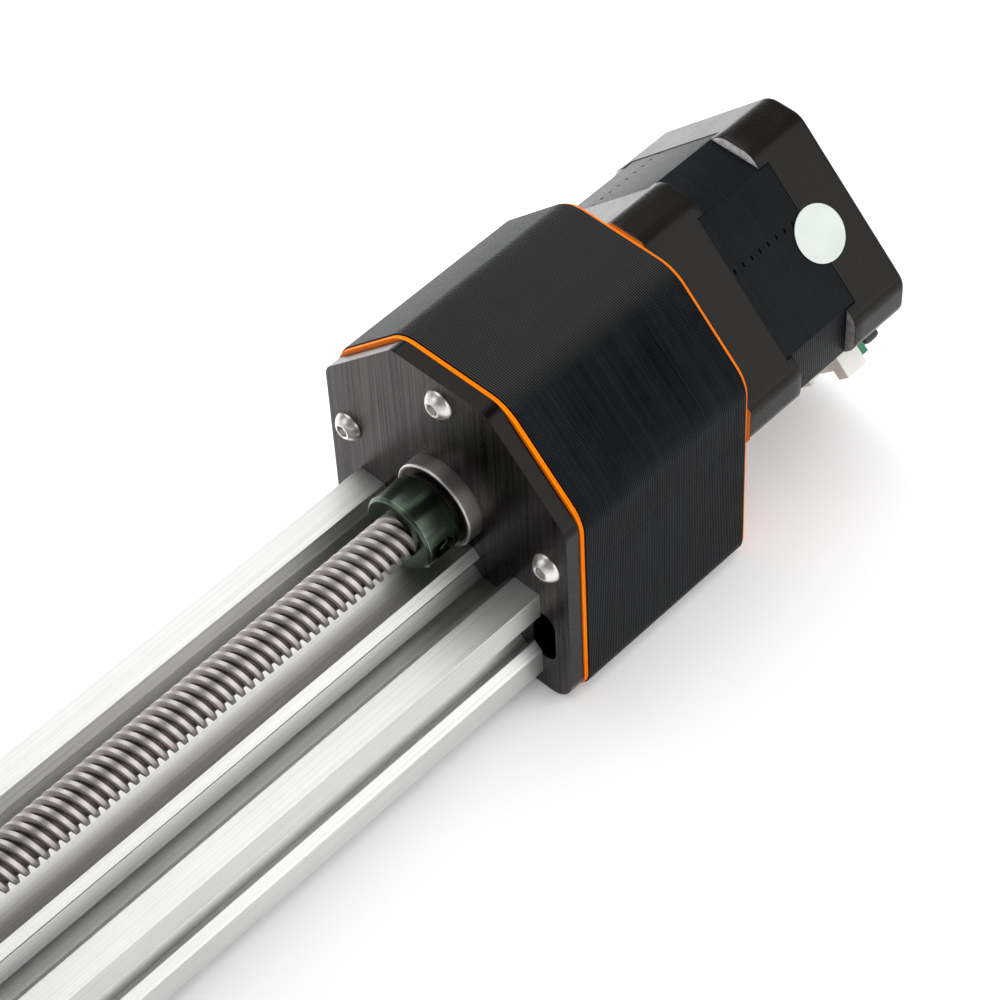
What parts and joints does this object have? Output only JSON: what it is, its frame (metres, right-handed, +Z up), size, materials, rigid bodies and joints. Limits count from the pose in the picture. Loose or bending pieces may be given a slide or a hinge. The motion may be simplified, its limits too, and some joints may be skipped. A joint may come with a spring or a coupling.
{
  "type": "lead screw linear actuator",
  "caption": "Stepper-driven lead screw actuator: a slotted aluminium rail lying flat, a lead screw above it, a wheeled carriage plate, end plates and a printed coupler cover.",
  "frame": {"origin": "on the floor, at the middle of the width and of the overall length", "axes": "+X across the rail, +Y along the lead screw towards the motor, +Z up"},
  "size_m": [0.087, 0.3376, 0.0596],
  "materials": {
    "rail": "clear anodised, satin, drawn lines along its length",
    "black_plate": "black anodised, brushed upright",
    "cover_print": "black printed plastic with fine layer ridges",
    "orange_print": "orange printed plastic",
    "bearing_steel": "ground steel",
    "bearing_shield": "dark shield",
    "collar_black": "blackened steel with a green sheen",
    "stainless": "stainless steel",
    "screw_steel": "rolled stainless thread",
    "coupler_aluminium": "machined",
    "motor_black": "black satin paint on cast caps",
    "lamination": "black painted sheet stack",
    "copper": "enamelled copper wire",
    "connector_white": "white moulded plastic",
    "connector_gold": "plated pins",
    "board_green": "green circuit board",
    "black_plastic": "black moulded plastic",
    "sticker_white": "white paper sticker",
    "carriage_black": "black anodised plate",
    "bronze": "bronze",
    "wheel_black": "black moulded wheel"
  },
  "bodies": {
    "frame": {"rail": "rail", "motor_end_plate": "black_plate", "far_end_plate": "black_plate", "coupler_cover": "cover_print", "front_gasket": "orange_print", "rear_gasket": "orange_print", "motor_pad": "orange_print", "motor_end_bearing_outer": "bearing_steel", "motor_end_bearing_balls": "bearing_steel", "far_end_bearing_outer": "bearing_steel", "far_end_bearing_balls": "bearing_steel", "motor_bearing_outer_rings": "bearing_steel", "motor_bearing_balls": "bearing_steel", "motor_end_bearing_shields": "bearing_shield", "far_end_bearing_shields": "bearing_shield", "motor_screws": "stainless", "rail_end_screws": "stainless", "motor_case_screws": "stainless", "motor_spacers": "coupler_aluminium", "motor_front_cap": "motor_black", "motor_rear_cap": "motor_black", "stator_stack": "lamination", "stator_coils": "copper", "connector_housing": "connector_white", "connector_pins": "connector_gold", "connector_board": "board_green", "connector_backing": "black_plastic", "blank_sticker": "sticker_white"},
    "spindle": {"lead_screw": "screw_steel", "motor_end_bearing_inner": "bearing_steel", "far_end_bearing_inner": "bearing_steel", "bearing_shims": "stainless", "motor_end_lock_collar": "collar_black", "far_end_lock_collar": "collar_black", "collar_grub_screws": "collar_black", "shaft_coupler": "coupler_aluminium", "coupler_set_screws": "collar_black", "motor_shaft": "screw_steel", "rotor_core": "lamination", "motor_bearing_inner_rings": "bearing_steel"},
    "carriage": {"carriage_plate": "carriage_black", "nut_block": "black_plastic", "lead_nut": "bronze", "nut_block_screws": "stainless", "wheel_axles": "stainless", "wheel_spacers": "coupler_aluminium", "eccentric_bushes": "stainless", "wheel_bearing_inner_rings": "bearing_steel", "wheel_bearing_shims": "stainless", "wheel_bearing_balls": "bearing_steel", "axle_nuts": "stainless"},
    "left_front_wheel": {"wheel_left_front": "wheel_black", "wheel_bearing_rings_left_front": "bearing_steel"},
    "left_back_wheel": {"wheel_left_back": "wheel_black", "wheel_bearing_rings_left_back": "bearing_steel"},
    "right_front_wheel": {"wheel_right_front": "wheel_black", "wheel_bearing_rings_right_front": "bearing_steel"},
    "right_back_wheel": {"wheel_right_back": "wheel_black", "wheel_bearing_rings_right_back": "bearing_steel"}
  },
  "joints": [
    {"name": "screw_spin", "type": "hinge", "parent": "frame", "child": "spindle", "pos_m": [0, 0.08675, 0.0322], "axis": [0, 1, 0], "range_deg": [-5225, 2120]},
    {"name": "carriage_slide", "type": "slide", "parent": "frame", "child": "carriage", "axis": [0, 1, 0], "range_m": [-0.047, 0.116]},
    {"name": "left_front_wheel_spin", "type": "hinge", "parent": "carriage", "child": "left_front_wheel", "pos_m": [-0.03067, -0.04625, 0.01355], "axis": [0, 0, 1], "range_deg": [-605.2, 245.8]},
    {"name": "left_back_wheel_spin", "type": "hinge", "parent": "carriage", "child": "left_back_wheel", "pos_m": [-0.03067, -0.10025, 0.01355], "axis": [0, 0, 1], "range_deg": [-605.2, 245.8]},
    {"name": "right_front_wheel_spin", "type": "hinge", "parent": "carriage", "child": "right_front_wheel", "pos_m": [0.03067, -0.04625, 0.01355], "axis": [0, 0, 1], "range_deg": [-245.8, 605.2]},
    {"name": "right_back_wheel_spin", "type": "hinge", "parent": "carriage", "child": "right_back_wheel", "pos_m": [0.03067, -0.10025, 0.01355], "axis": [0, 0, 1], "range_deg": [-245.8, 605.2]}
  ],
  "couplings": [
    {"joint": "screw_spin", "follows": "carriage_slide", "rad_per_m": -785.4},
    {"joint": "left_front_wheel_spin", "follows": "carriage_slide", "rad_per_m": -90.909},
    {"joint": "left_back_wheel_spin", "follows": "carriage_slide", "rad_per_m": -90.909},
    {"joint": "right_front_wheel_spin", "follows": "carriage_slide", "rad_per_m": 90.909},
    {"joint": "right_back_wheel_spin", "follows": "carriage_slide", "rad_per_m": 90.909}
  ]
}
